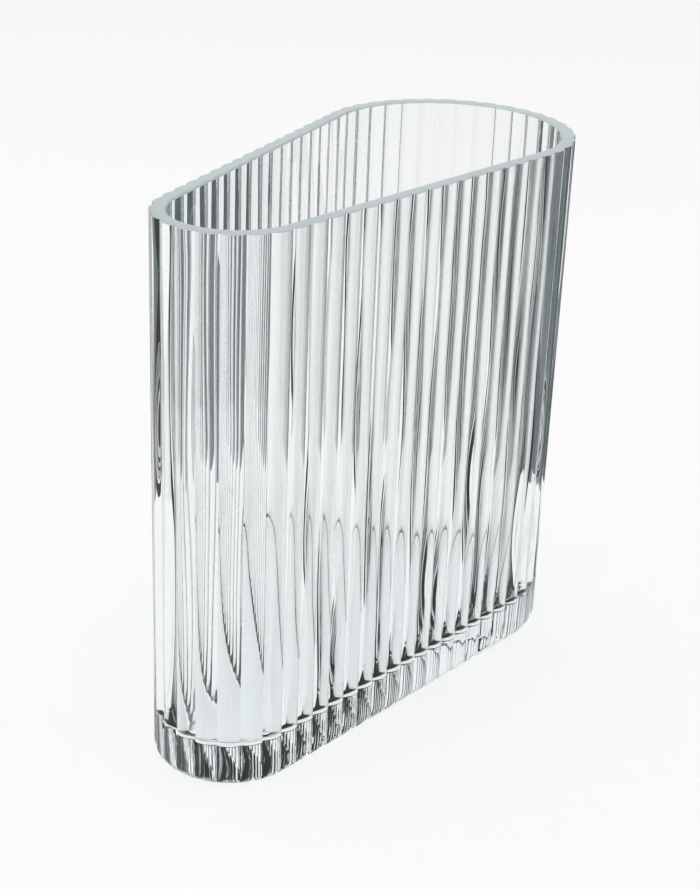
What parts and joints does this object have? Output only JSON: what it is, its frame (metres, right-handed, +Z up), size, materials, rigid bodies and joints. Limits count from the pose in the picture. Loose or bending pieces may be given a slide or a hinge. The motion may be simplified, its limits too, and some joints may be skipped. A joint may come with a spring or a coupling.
{
  "type": "vase",
  "caption": "Flat vase of clear ribbed glass with a teardrop plan, upright rounded ribs outside, a smooth inside, a thick foot and a flat rim, for holding cut flowers.",
  "frame": {"origin": "on the resting face, under the middle of the bounding box", "axes": "+Z up, +X towards the wide end, +Y across the flat body"},
  "size_m": [0.2074, 0.0952, 0.2],
  "materials": {
    "clear_glass": "gloss"
  },
  "bodies": {
    "root": {"glass_body": "clear_glass"}
  },
  "joints": []
}
